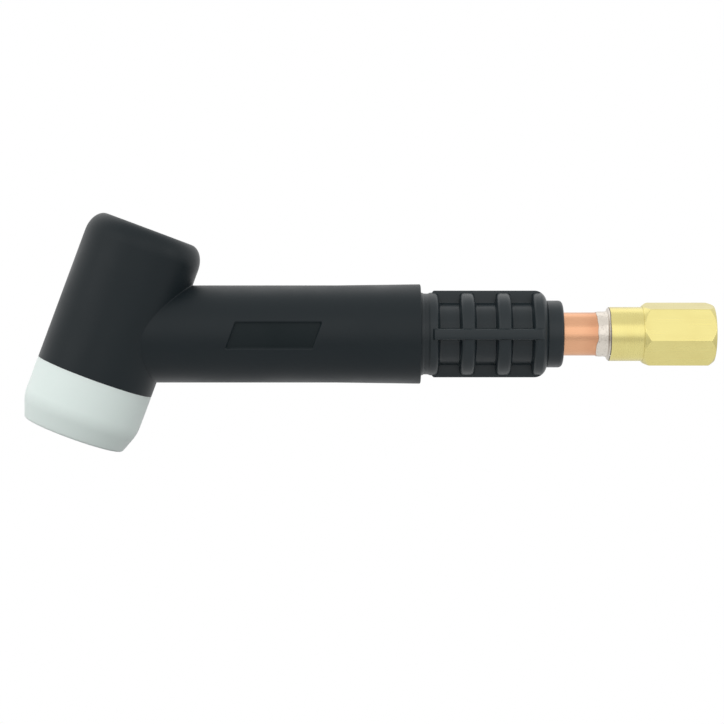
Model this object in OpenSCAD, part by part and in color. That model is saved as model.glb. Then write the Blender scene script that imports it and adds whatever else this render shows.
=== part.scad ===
// Body of a gas-cooled TIG welding torch with a flexible neck.
//
// The torch lies along X. The origin is the mouth of the cable inlet, in the rear face of the
// brass fitting, and the neck runs forward from it along -X. The head leans in the XZ plane,
// with its nose down and forward. The neck bends at nine centres on its own axis: the odd ones
// pitch the head up and down about Y, the even ones yaw it sideways about Z. Between two centres
// lies one link, a thin spherical shell whose dome turns in the socket of the link behind it.

/* [Supply tube] */
// Outside diameter of the copper tube
tube_od = 9.525; // [9:0.025:10.5]
// Wall of the copper tube
tube_wall = 1.6; // [1:0.1:2]
// Bare tube between the cable fitting and the handle collar
tube_bare = 9.9; // [6:0.1:20]

/* [Cable fitting] */
// Hexagon across its flats
hex_af = 12.7; // [12.6:0.1:15.5]
// Length of the hexagon
hex_len = 15.8; // [15:0.1:22]
// Turn of the hexagon about the torch's axis, degrees
hex_turn = 42; // [0:1:60]
// Length of the chamfer on each end of the hexagon
hex_chamfer = 1.5; // [0.8:0.1:2]
// Wall of the round collar around the tube's socket
fitting_wall = 1.15; // [1:0.05:2.2]
// Length of the round collar
fitting_len = 7.7; // [7:0.1:12]
// Rounding of the round collar's front edge
fitting_round = 0.7; // [0.3:0.1:1]
// Bore of the cable thread, at its crests
cable_thread_bore = 8.5; // [8:0.1:9.5]
// Depth of the cable thread
cable_thread_len = 13; // [9:0.5:14]
// Depth of the socket that the tube is brazed into
tube_socket = 6; // [4:0.1:6.5]
// Length of the braze fillet along the tube
braze_len = 2.7; // [1:0.1:4]
// Thickness of the braze fillet at the fitting
braze_rise = 0.9; // [0.5:0.05:0.95]
// Thickness of the braze fillet at its front end
braze_tip = 0.2; // [0.1:0.05:0.5]
// Length of the fillet's curve up to the fitting
braze_curve_len = 0.9; // [0.4:0.1:0.9]

/* [Handle collar] */
// Diameter over the long ribs
rib_od = 19.2; // [18.8:0.1:23]
// Width of a long rib
rib_w = 2.4; // [1.6:0.1:4]
// Number of long ribs
rib_count = 4; // [4:1:8]
// Diameter over the cross rings and the front band
ring_od = 18.3; // [17:0.1:18.6]
// Width of a cross ring
ring_w = 3.3; // [2.4:0.1:4.5]
// Distance between the middles of two cross rings
ring_pitch = 7.95; // [6:0.05:9.5]
// Number of cross rings
ring_count = 4; // [3:1:6]
// Rounding of a cross ring's edges
ring_round = 0.9; // [0.4:0.1:1.1]
// Diameter at the floor of the pockets
pocket_od = 13.8; // [12.4:0.1:15]
// Rounding of the collar's rear shoulder
shoulder_round = 2.6; // [1.5:0.1:3]
// Diameter of the plain end ring
end_ring_od = 14.8; // [13:0.1:16.5]
// Length of the plain end ring
end_ring_len = 3.5; // [2:0.1:6]
// Rounding of the end ring's rear edge
end_ring_round = 0.9; // [0.4:0.1:1.2]
// Length of the front band between the first ring and the neck jacket
band_len = 0.65; // [0.2:0.05:4]
// Depth that the front band sits in the neck jacket's rear face
band_sunk = 1; // [0.5:0.1:2]
// Diameter of the spigot inside the neck jacket
spigot_od = 15; // [13:0.1:16]
// Length of the spigot inside the neck jacket
spigot_len = 5; // [3:0.1:6]

/* [Neck] */
// Neck jacket's diameter at its rear face
neck_rear_od = 22; // [21.6:0.1:24]
// Neck jacket's diameter along the bending stretch
neck_od = 21.5; // [20:0.1:21.5]
// Distance from the jacket's rear face to the first bending centre
sleeve_len = 18.5; // [18:0.1:40]
// Distance between two bending centres
link_pitch = 3.6; // [3.2:0.1:5]
// Number of links between the rear sleeve and the head
link_count = 8; // [4:2:10]
// Gap between a dome and its socket
dome_gap = 0.3; // [0.2:0.05:0.5]
// Straight neck between the last bending centre and the side of the head
stub_len = 7.1; // [6.5:0.1:26]

/* [Plaque recess] */
// Length of the parallelogram
plaque_len = 18.7; // [10:0.1:22]
// Height of the parallelogram
plaque_h = 5.8; // [3:0.1:9]
// Lean of its ends along the neck, from bottom to top
plaque_lean = 2.1; // [0:0.1:4]
// Depth below the jacket's surface
plaque_depth = 0.5; // [0.2:0.05:0.9]
// Distance from the jacket's rear face to the recess's middle
plaque_from_rear = 32; // [30:0.1:34]
// Height of the recess's middle above the neck's axis
plaque_up = -0.2; // [-2:0.1:2]

/* [Head] */
// Diameter of the head
head_od = 26.4; // [25.5:0.1:32]
// Lean of the head's axis from square to the neck, degrees
head_lean = 20.5; // [0:0.5:30]
// Distance from the neck's axis to the head's rear face, along the head
head_rear = 24.7; // [24.7:0.1:36]
// Distance from the neck's axis to the jacket's front edge, along the head
jacket_front = 10; // [9.8:0.1:12]
// Rounding of the rear edge, measured down the side
rear_round_down = 4.9; // [1:0.1:5]
// Rounding of the rear edge, measured in across the face
rear_round_in = 3.3; // [1:0.1:4]
// Diameter of the rear opening in the jacket
rear_mouth_od = 15.3; // [13.5:0.1:16.5]

/* [Head core] */
// Diameter of the brass core
core_od = 17; // [16.5:0.1:19]
// Depth of the core's rear rim below the jacket's rear face
core_sunk = 2.3; // [0.5:0.1:3]
// Length of the core's narrower rear rim
core_rim_len = 4; // [2:0.1:5]
// Bore of the back-cap thread, at its crests
backcap_thread_bore = 11.8; // [11:0.1:12.4]
// Depth of the back-cap thread
backcap_thread_len = 14; // [8:0.1:15]
// Bore of the collet-body thread, at its crests
collet_thread_bore = 8.74; // [8:0.02:9.5]
// Depth of the collet-body thread
collet_thread_len = 13; // [8:0.1:14]
// Bore between the two threads
through_bore = 6.8; // [5:0.1:7.6]
// Thickness of core left between the tube's end and the through bore
port_wall = 1.8; // [1:0.1:2]
// Diameter of the gas port between the tube and the through bore
port_bore = 4.8; // [3:0.1:5.8]
// Thickness of the braze around the tube at the core
port_braze_rise = 1.8; // [1:0.1:2.5]
// Thickness of that braze at its rear end
port_braze_tip = 0.4; // [0.2:0.1:0.8]
// Length of that braze's taper along the tube
port_braze_len = 3; // [2:0.1:4]

/* [Nose insulator] */
// Length of the white nose beyond the jacket's front edge
nose_len = 13.7; // [12:0.1:18]
// Length of the nose that keeps the head's full diameter
nose_straight = 7.3; // [4:0.1:8]
// Slope of the tapered front of the nose, degrees
nose_taper = 20.5; // [5:0.5:25]
// Radius of the curve between the straight and the tapered length
nose_curve = 8.6; // [2:0.1:9]
// Rounding of the nose's front edge
nose_edge = 0.7; // [0.3:0.1:1]
// Bore of the nose in front of the core
nose_bore = 13; // [11:0.1:14]
// Distance that the core reaches into the nose
core_in_nose = 6.5; // [4:0.1:8]
// Diameter of the nose's spigot inside the jacket
nose_spigot_od = 21.6; // [20.5:0.1:22.5]
// Length of the nose's spigot inside the jacket
nose_spigot_len = 4.7; // [3:0.1:5.5]

/* [Fits] */
// Radial gap between pieces that are moulded, pressed or brazed together
fit_gap = 0.05; // [0.02:0.01:0.1]

/* [Hidden] */
$fn = 96;
copper = "#D9966E";
silver = "#C8C0B4";
brass = "#E0CF86";
silicone = "#26292B";
phenolic = "#33363A";
ptfe = "#E9EFEC";

tube_r = tube_od / 2;
tube_bore_r = tube_r - tube_wall;
tube_hole_r = tube_r + fit_gap;

// Stations along X, from the cable inlet forward
fitting_front_x = -hex_len - fitting_len;
tube_rear_x = fitting_front_x + tube_socket;
end_ring_rear_x = fitting_front_x - tube_bare;
shoulder_x = end_ring_rear_x - end_ring_len;
ring_half = ring_w / 2;
first_ring_x = shoulder_x - ring_half - (ring_count - 1) * ring_pitch;
neck_rear_x = first_ring_x - ring_half - band_len;
spigot_front_x = neck_rear_x - spigot_len;
first_centre_x = neck_rear_x - sleeve_len;
last_centre_x = first_centre_x - link_count * link_pitch;
head_x = last_centre_x - stub_len - head_od / 2 / cos(head_lean);

// The chamfer's cone starts this far inside the hexagon's flats and ends this far past its corners
chamfer_slack = 0.1;

// Bending centres and the two spheres about each of them; a dome stands a little proud of the neck
function centre_x(k) = first_centre_x - (k - 1) * link_pitch;
dome_rise = 0.05;
dome_r = neck_od / 2 + dome_rise;
socket_r = dome_r + dome_gap;

// Heights along the head's own axis, up from the neck's axis
core_rear = head_rear - core_sunk;
core_front = -jacket_front - core_in_nose;
nose_front = -jacket_front - nose_len;
nose_rear = nose_spigot_len - jacket_front;
core_mouth_od = rear_mouth_od - 2 * fit_gap;
core_side = core_od / 2 / cos(head_lean);
tube_front_x = head_x + (through_bore / 2 + port_wall) / cos(head_lean);
head_braze_r = tube_r + port_braze_rise;
head_braze_x = head_x + core_side + tan(head_lean) * head_braze_r;

// A cut or a joined bar runs past a face by this much
past = 1;
// Steps in a curved stretch of an outline
steps = 10;

// Points of an elliptic arc about a middle [r, z], from angle a to angle b
function arc(middle, r_in, z_down, a, b) = [
    for (i = [0:steps])
        let (at = a + (b - a) * i / steps)
        middle + [r_in * cos(at), z_down * sin(at)]
];

// Lays what is drawn up the Z axis along the torch, from X = x
module along(x) {
    translate([x, 0, 0]) rotate([0, 90, 0]) children();
}

// A round bar along the torch, between two stations
module bar(x0, x1, r) {
    along(x0) cylinder(h = x1 - x0, r = r);
}

// Stands what is drawn up the Z axis along the head's axis
module on_head() {
    translate([head_x, 0, 0]) rotate([0, head_lean, 0]) children();
}

// A round bar along the head's axis, between two heights
module head_bar(z0, z1, r) {
    on_head() translate([0, 0, z0]) cylinder(h = z1 - z0, r = r);
}

// ---- Rear of the torch ----

// Hexagon with a turned chamfer on both ends
module chamfered_hex() {
    corner_r = hex_af / 2 / cos(30);
    chamfer_r = corner_r + chamfer_slack;
    face_r = hex_af / 2 - chamfer_slack;
    intersection() {
        along(-hex_len) rotate(hex_turn) cylinder(h = hex_len, r = corner_r, $fn = 6);
        rotate([0, 90, 0]) rotate_extrude()
            polygon([[0, -hex_len], [face_r, -hex_len], [chamfer_r, hex_chamfer - hex_len],
                [chamfer_r, -hex_chamfer], [face_r, 0], [0, 0]]);
    }
}

// Round collar with a rounded front edge, drawn from its front face
module fitting_collar() {
    r = tube_hole_r + fitting_wall;
    edge = arc([r - fitting_round, fitting_round], fitting_round, fitting_round, -90, 0);
    along(fitting_front_x) rotate_extrude()
        polygon(concat([[0, 0]], edge, [[r, fitting_len], [0, fitting_len]]));
}

// Brass fitting: the cable screws in at the rear, the tube is brazed in at the front
module cable_fitting() {
    color(brass) difference() {
        union() {
            chamfered_hex();
            fitting_collar();
        }
        bar(-cable_thread_len, past, cable_thread_bore / 2);
        bar(tube_rear_x - past, past, tube_bore_r);
        bar(fitting_front_x - past, tube_rear_x, tube_hole_r);
    }
}

// Fillet of silver braze: a thin skin on the tube that curves up to the fitting
module cable_braze() {
    rise = braze_rise - braze_tip;
    curve = arc([tube_r + braze_rise, braze_len - braze_curve_len], rise, braze_curve_len, 180, 90);
    color(silver) difference() {
        along(fitting_front_x - braze_len) rotate_extrude()
            polygon(concat([[0, 0], [tube_r + braze_tip, 0]], curve, [[0, braze_len]]));
        bar(fitting_front_x - braze_len - past, fitting_front_x + past, tube_hole_r);
    }
}

// Copper tube from the fitting to the first socket of the neck
module supply_tube() {
    color(copper) difference() {
        bar(first_centre_x, tube_rear_x, tube_r);
        bar(first_centre_x - past, tube_rear_x + past, tube_bore_r);
        translate([first_centre_x, 0, 0]) sphere(r = socket_r);
    }
}

// Half outline of a cross ring about its middle, with rounded crests
module ring_outline() {
    r = ring_od / 2;
    translate([0, -ring_half]) square([r - ring_round, ring_w]);
    translate([0, ring_round - ring_half]) square([r, ring_w - 2 * ring_round]);
    for (s = [-1, 1])
        translate([r - ring_round, s * (ring_half - ring_round)]) circle(r = ring_round);
}

// Space that the long ribs fill: full height, low at the front end and rounded at the shoulder
module rib_envelope() {
    r = rib_od / 2;
    front = first_ring_x;
    lead = r - ring_od / 2;
    shoulder = arc([r - shoulder_round, shoulder_x - shoulder_round], shoulder_round, shoulder_round, 0, 90);
    rotate([0, 90, 0]) rotate_extrude()
        polygon(concat([[0, front], [r - lead, front], [r, front + lead]], shoulder, [[0, shoulder_x]]));
}

// Collar that the handle slides on
module handle_collar() {
    end_r = end_ring_od / 2;
    end_edge = arc([end_r - end_ring_round, end_ring_rear_x - end_ring_round],
        end_ring_round, end_ring_round, 0, 90);
    color(phenolic) difference() {
        union() {
            bar(spigot_front_x, first_ring_x, spigot_od / 2);
            bar(neck_rear_x - band_sunk, first_ring_x, ring_od / 2);
            bar(first_ring_x, shoulder_x, pocket_od / 2);
            intersection() {
                rotate([0, 90, 0]) rotate_extrude()
                    for (k = [0:ring_count - 1])
                        translate([0, first_ring_x + k * ring_pitch]) ring_outline();
                rib_envelope();
            }
            intersection() {
                for (k = [0:rib_count - 1])
                    rotate([k * 360 / rib_count, 0, 0])
                        translate([first_ring_x, -rib_w / 2, 0])
                            cube([shoulder_x - first_ring_x, rib_w, rib_od]);
                rib_envelope();
            }
            rotate([0, 90, 0]) rotate_extrude()
                polygon(concat([[0, shoulder_x - ring_half], [end_r, shoulder_x - ring_half]],
                    end_edge, [[0, end_ring_rear_x]]));
        }
        bar(spigot_front_x - past, end_ring_rear_x + past, tube_hole_r);
    }
}

// ---- Neck ----

// What the plaque recess takes off the neck jacket, on its -Y side
module plaque_recess() {
    x = neck_rear_x - plaque_from_rear;
    half = plaque_len / 2;
    up = plaque_h / 2;
    lean = plaque_lean / 2;
    difference() {
        translate([x, -neck_od / 4, plaque_up]) rotate([90, 0, 0])
            linear_extrude(neck_od)
                polygon([[-half - lean, -up], [half - lean, -up], [half + lean, up], [-half + lean, up]]);
        bar(x - plaque_len, x + plaque_len, neck_od / 2 - plaque_depth);
    }
}

// Rear sleeve of the neck jacket, tapered down to the bending stretch
module neck_sleeve() {
    color(silicone) difference() {
        along(first_centre_x) cylinder(h = sleeve_len, r1 = neck_od / 2, r2 = neck_rear_od / 2);
        bar(neck_rear_x - band_sunk, neck_rear_x + past, ring_od / 2 + fit_gap);
        bar(spigot_front_x, neck_rear_x + past, spigot_od / 2 + fit_gap);
        bar(first_centre_x - past, neck_rear_x + past, tube_hole_r);
        translate([first_centre_x, 0, 0]) sphere(r = socket_r);
        plaque_recess();
    }
}

// Link k between two radii: a dome about its own centre, a socket about the next one
module link_shell(k, r_in, r_out) {
    rotate([0, 90, 0]) rotate_extrude() difference() {
        intersection() {
            translate([r_in, centre_x(k + 1)]) square([r_out - r_in, link_pitch + dome_r]);
            translate([0, centre_x(k)]) circle(r = dome_r);
        }
        translate([0, centre_x(k + 1)]) circle(r = socket_r);
    }
}

// Silicone of link k
module jacket_link(k) {
    color(silicone) difference() {
        link_shell(k, tube_hole_r, neck_od / 2);
        plaque_recess();
    }
}

// Copper of link k
module tube_link(k) {
    color(copper) link_shell(k, tube_bore_r, tube_r);
}

// Straight end of the tube, from the head core's side port to the last dome
module neck_stub_tube() {
    color(copper) rotate([0, 90, 0]) rotate_extrude() {
        translate([tube_bore_r, tube_front_x]) square([tube_wall, last_centre_x - tube_front_x + past]);
        intersection() {
            translate([tube_bore_r, last_centre_x]) square([tube_wall, dome_r]);
            translate([0, last_centre_x]) circle(r = dome_r);
        }
    }
}

// ---- Head ----

// Outside of the braze around the side port, larger by extra all round
module head_braze_outside(extra) {
    bar(head_x, head_braze_x, head_braze_r + extra);
    along(head_braze_x)
        cylinder(h = port_braze_len, r1 = head_braze_r + extra, r2 = tube_r + port_braze_tip + extra);
}

// Fillet of silver braze between the core's side port and the tube
module head_braze() {
    color(silver) difference() {
        head_braze_outside(0);
        head_bar(core_front, core_rear, core_od / 2 + fit_gap);
        bar(head_x - past, head_braze_x + port_braze_len + past, tube_hole_r);
    }
}

// Brass core: back cap at the rear, collet body at the front, gas port at the side
module head_core() {
    color(brass) difference() {
        union() {
            head_bar(core_front, core_rear - core_rim_len, core_od / 2);
            head_bar(core_front, core_rear, core_mouth_od / 2);
        }
        head_bar(core_rear - backcap_thread_len, core_rear + past, backcap_thread_bore / 2);
        head_bar(core_front - past, core_front + collet_thread_len, collet_thread_bore / 2);
        head_bar(core_front - past, core_rear + past, through_bore / 2);
        bar(tube_front_x, head_x + core_od, tube_hole_r);
        bar(head_x, head_x + core_od, port_bore / 2);
    }
}

// Silicone over the head, in one piece with the front of the neck jacket
module head_jacket() {
    r = head_od / 2;
    rear_edge = arc([r - rear_round_in, head_rear - rear_round_down], rear_round_in, rear_round_down, 0, 90);
    color(silicone) difference() {
        union() {
            on_head() rotate_extrude()
                polygon(concat([[0, -jacket_front], [r, -jacket_front]], rear_edge, [[0, head_rear]]));
            bar(head_x + head_od / 4, last_centre_x, neck_od / 2);
            translate([last_centre_x, 0, 0]) sphere(r = dome_r);
        }
        head_bar(-jacket_front - past, core_rear - core_rim_len + fit_gap, core_od / 2 + fit_gap);
        head_bar(0, head_rear + past, rear_mouth_od / 2);
        head_bar(-jacket_front - past, nose_rear + fit_gap, nose_spigot_od / 2 + fit_gap);
        head_braze_outside(fit_gap);
        bar(head_x, last_centre_x + dome_r + past, tube_hole_r);
        plaque_recess();
    }
}

// White nose: a spigot in the jacket, a seat for the core and a bore for the collet body
module nose_insulator() {
    r = head_od / 2;
    curve = arc([r - nose_curve, -jacket_front - nose_straight], nose_curve, nose_curve, -nose_taper, 0);
    edge_z = nose_front + nose_edge * (1 - sin(nose_taper));
    edge_r = curve[0].x - (curve[0].y - edge_z) * tan(nose_taper);
    edge = arc([edge_r - nose_edge * cos(nose_taper), nose_front + nose_edge],
        nose_edge, nose_edge, -90, -nose_taper);
    color(ptfe) difference() {
        union() {
            on_head() rotate_extrude()
                polygon(concat([[0, nose_front]], edge, curve, [[r, -jacket_front], [0, -jacket_front]]));
            head_bar(-jacket_front - past, nose_rear, nose_spigot_od / 2);
        }
        head_bar(core_front, nose_rear + past, core_od / 2 + fit_gap);
        head_bar(nose_front - past, core_front + past, nose_bore / 2);
    }
}

cable_fitting();
cable_braze();
supply_tube();
handle_collar();
neck_sleeve();
for (k = [1:link_count]) {
    jacket_link(k);
    tube_link(k);
}
neck_stub_tube();
head_braze();
head_core();
head_jacket();
nose_insulator();
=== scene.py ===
"""Looks of a gas-cooled TIG torch body with a flexible neck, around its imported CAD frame.

Sizes are in mm. X runs rearwards out of the cable inlet, Z is up, and the head is at -X. Each skin is made of
grids of points with their own outward normals, so that small edge roundings shade cleanly and the pieces of the
bending neck meet without a seam.
"""

import math

import bpy
import numpy as np
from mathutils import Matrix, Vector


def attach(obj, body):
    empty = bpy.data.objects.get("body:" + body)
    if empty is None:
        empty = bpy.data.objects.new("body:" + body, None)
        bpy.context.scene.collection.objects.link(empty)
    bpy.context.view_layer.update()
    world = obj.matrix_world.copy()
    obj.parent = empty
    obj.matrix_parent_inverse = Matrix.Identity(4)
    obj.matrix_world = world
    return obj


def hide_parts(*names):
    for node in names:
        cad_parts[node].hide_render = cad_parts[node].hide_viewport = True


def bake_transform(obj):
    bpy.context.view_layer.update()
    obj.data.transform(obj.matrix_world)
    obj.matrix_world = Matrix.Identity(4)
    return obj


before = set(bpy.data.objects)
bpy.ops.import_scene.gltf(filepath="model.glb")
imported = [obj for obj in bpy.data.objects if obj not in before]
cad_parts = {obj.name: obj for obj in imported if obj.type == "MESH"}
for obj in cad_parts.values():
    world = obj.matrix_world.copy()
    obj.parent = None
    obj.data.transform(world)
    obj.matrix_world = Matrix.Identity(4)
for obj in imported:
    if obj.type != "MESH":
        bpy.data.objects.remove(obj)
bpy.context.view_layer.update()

MM = 0.001
TAU = 2 * math.pi
# Gap between two pieces that fit into each other
FIT = 0.05
# Spacing of stations along the neck and its tube
STATION_STEP = 0.6

# Threads: radius of the crest, radius of the root and pitch
CABLE_THREAD = (4.25, 4.76, 1.058)
COLLET_THREAD = (4.37, 4.76, 0.794)
CAP_THREAD = (5.9, 6.35, 0.95)
# Their profile: flat crest and flank as shares of half a pitch, and rows of points in one turn
CREST_SHARE = 0.2
FLANK_SHARE = 0.62
ROWS_PER_TURN = 9

# Copper tube, with the rounding of its ends across the wall and along it
TUBE_R = 4.7625
TUBE_BORE_R = 3.1625
TUBE_HOLE_R = TUBE_R + FIT
TUBE_EDGE = 0.15
TUBE_CAP = 0.12
# Stretch over which the copper turns browner towards the brazed joint
HEAT_START = -29.5
HEAT_END = -25.5

# Cable fitting's hexagon
HEX_FLAT_R = 6.35
HEX_LEN = 15.8
HEX_TURN = 12
HEX_EDGE = 0.3
HEX_ROUND = 0.12
CHAMFER_LEN = 1.5
CHAMFER_IN = 6.25
CHAMFER_OUT = 7.43
# A point on the chamfer: how far in from the end face it lies, and its radius
ON_CHAMFER = (0.6, 6.72)

# Cable fitting's threaded inlet, round collar and brazing socket
INLET_MOUTH_R = 4.95
INLET_END_R = 4.3
INLET_END = -13.4
COLLAR_R = 5.9625
COLLAR_ROUND = 0.7
SOCKET_END = -17.5
FITTING_FRONT = -23.5

# Braze between the fitting and the tube: its thin skin on the tube, its hollow curve and its film on the fitting
BRAZE_FRONT = -26.2
BRAZE_SKIN = 0.2
BRAZE_EDGE = 0.04
BRAZE_CURVE = 0.9
BRAZE_FILM = 0.05
# How far the film reaches round the fitting's edge, and its rows as shares of that reach and of its thickness
BRAZE_REACH = math.radians(72)
BRAZE_OVER = ((0.2, 1), (0.4, 1), (0.6, 1), (0.8, 1), (0.88, 0.9), (1, 0.4), (1.02, -0.4), (0.5, -0.4), (0, -0.4))

# Handle collar
END_RING_REAR = -33.4
END_RING_R = 7.4
SHOULDER = -36.9
SHOULDER_ROUND = 2.6
RIB_R = 9.6
RIB_HALF = 1.2
RING_R = 9.15
RING_HALF = 1.65
RING_ROUND = 0.9
RINGS = [-62.4, -54.45, -46.5, -38.55]
POCKET_R = 6.9
# Two steps of the fillet at the foot of the rings and ribs
FOOT_HIGH = 7.3
FOOT_LOW = 7.05
BAND_FRONT = -65.7
SPIGOT_R = 7.5
SPIGOT_FRONT = -69.7
# Shallow dip in the front band
DIP_DEPTH = 0.22
DIP_FRONT = -64.4
DIP_REAR = -62.5

# Neck: its jacket's rear face, the links between the rear body and the head, the bending centres at the links'
# ends, and half the length over which each of them bends
NECK_REAR = -64.7
NECK_REAR_R = 11.0
NECK_R = 10.75
LINKS = 8
CENTRES = [-83.2 - 3.6 * k for k in range(LINKS + 1)]
BEND_HALF = 1.8

# Plaque recess in the neck, on its -Y side
PLAQUE_X = -96.7
PLAQUE_Z = -0.2
PLAQUE_LEN = 18.7
PLAQUE_H = 5.8
PLAQUE_LEAN = 2.1
PLAQUE_DEPTH = 0.5
PLAQUE_RAMP = 0.5

# Head jacket, with heights along the head's own axis
LEAN = math.radians(20.5)
HEAD_R = 13.2
HEAD_X = CENTRES[-1] - 7.1 - HEAD_R / math.cos(LEAN)
HEAD_REAR = 24.7
JACKET_FRONT = -10.0
EDGE_ROUND = 0.12
REAR_DOWN = 4.9
REAR_IN = 3.3
MOUTH_R = 7.65
# The neck's fillet, the angle round the head up to which the head's side is drawn towards it, and the angle round
# the neck where that stretch has its corners
NECK_FILLET = 0.15
JUNCTION_PHI = math.radians(100)
JUNCTION_CORNER = 31.5

# Core: its rim, its through bore and the ends and mouths of its two threads
CORE_REAR = 22.4
CORE_FRONT = -16.5
CORE_R = 8.5
CORE_RIM_R = 7.6
CORE_RIM_FRONT = 18.4
BORE_R = 3.4
BORE_FRONT = -3.3
BORE_REAR = 8.2
COLLET_END_R = 4.42
COLLET_MOUTH_R = 4.95
CAP_END_R = 5.95
CAP_MOUTH_R = 6.5
# How far from the head's axis the tube ends
STUB_END = BORE_R + 1.8

# Nose, and the seat in the jacket for its spigot
SEAT_R = 10.85
SEAT_END = -5.25
NOSE_FRONT = -23.7
NOSE_STRAIGHT = 7.3
NOSE_CURVE_R = 8.6
NOSE_TAPER = math.radians(20.5)
NOSE_BORE_R = 6.5

# Axes that pieces are turned about: a point, the axis and the two directions across it
ALONG = (np.zeros(3), np.array([1.0, 0, 0]), np.array([0, 1.0, 0]), np.array([0, 0, 1.0]))
UP_HEAD = np.array([math.sin(LEAN), 0, math.cos(LEAN)])
BACK_HEAD = np.array([math.cos(LEAN), 0, -math.sin(LEAN)])
HEAD = (np.array([HEAD_X, 0, 0]), UP_HEAD, BACK_HEAD, np.array([0, 1.0, 0]))


# ---- Surfaces ----


def put(name, data):
    """A new object in the scene."""
    made = bpy.data.objects.new(name, data)
    bpy.context.scene.collection.objects.link(made)
    return made


def angles(count):
    """Evenly spaced angles once round."""
    return np.arange(count) * TAU / count


def rounded(corners, per_step=20, ends=False):
    """Points and outward normals of an open outline [along, radius, rounding], which runs anticlockwise.

    Its first and last corner give the way in and the way out, and are left out unless ends is true.
    """
    spots = [np.array(corner[:2], float) for corner in corners]
    ways = [(after - before) / np.linalg.norm(after - before) for before, after in zip(spots, spots[1:])]
    points, normals = [], []
    for spot, corner, way_in, way_out in zip(spots[1:], corners[1:], ways, ways[1:]):
        radius = corner[2]
        turn = math.atan2(way_in[0] * way_out[1] - way_in[1] * way_out[0], way_in @ way_out)
        side = math.copysign(1, turn)
        start = spot - way_in * radius * math.tan(abs(turn) / 2)
        middle = start + side * radius * np.array([-way_in[1], way_in[0]])
        steps = max(2, math.ceil(abs(math.degrees(turn)) / per_step))
        for k in range(steps + 1):
            c, s = math.cos(turn * k / steps), math.sin(turn * k / steps)
            out = np.array([way_in[0] * s + way_in[1] * c, way_in[1] * s - way_in[0] * c])
            points.append(middle + side * radius * out)
            normals.append(out)
    if ends:
        first, last = (np.array([way[1], -way[0]]) for way in (ways[0], ways[-1]))
        points, normals = [spots[0], *points, spots[-1]], [first, *normals, last]
    return np.array(points), np.array(normals)


def joined(*parts):
    """Outlines or grids, one after another: points and normals."""
    return tuple(np.concatenate(arrays) for arrays in zip(*parts))


def turned(outline, axis, around):
    """An outline turned about an axis: points and normals, as rows along it and columns around it."""
    points, normals = outline
    origin, a, b, c = axis
    ring = np.cos(around)[:, None] * b + np.sin(around)[:, None] * c
    spots = origin + points[:, 0, None, None] * a + points[:, 1, None, None] * ring
    return spots, normals[:, 0, None, None] * a + normals[:, 1, None, None] * ring


def relief(radius, along, around, axis, inner=False):
    """A surface about an axis whose radius is a function of the place along it and around it."""
    origin, a, b, c = axis

    def at(d_along, d_around):
        s, t = along + d_along, around + d_around
        if s.ndim == 1:
            s, t = np.meshgrid(s, t, indexing="ij")
        r = radius(s, t)[..., None]
        return origin + s[..., None] * a + r * (np.cos(t)[..., None] * b + np.sin(t)[..., None] * c)

    step = 0.02
    turn = step / 10
    normals = np.cross(at(0, turn) - at(0, -turn), at(step, 0) - at(-step, 0))
    normals /= np.linalg.norm(normals, axis=2)[..., None]
    return at(0, 0), -normals if inner else normals


def smooth(x):
    """0 to 1 with level ends."""
    x = np.clip(x, 0, 1)
    return x * x * (3 - 2 * x)


def thread(start, end, form, axis, around):
    """A helical thread in a bore, which fades out over one turn at both ends."""
    crest, root, pitch = form
    rows = np.linspace(start, end, int(abs(end - start) / pitch * ROWS_PER_TURN) + 1)

    def radius(s, t):
        wave = np.abs(np.mod(s / pitch - t / TAU, 1) * 2 - 1)
        fade = smooth((s - start) / pitch) * smooth((end - s) / pitch)
        return crest + (root - crest) * fade * np.clip((wave - CREST_SHARE) / FLANK_SHARE, 0, 1)

    return relief(radius, rows, around, axis, inner=True)


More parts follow.
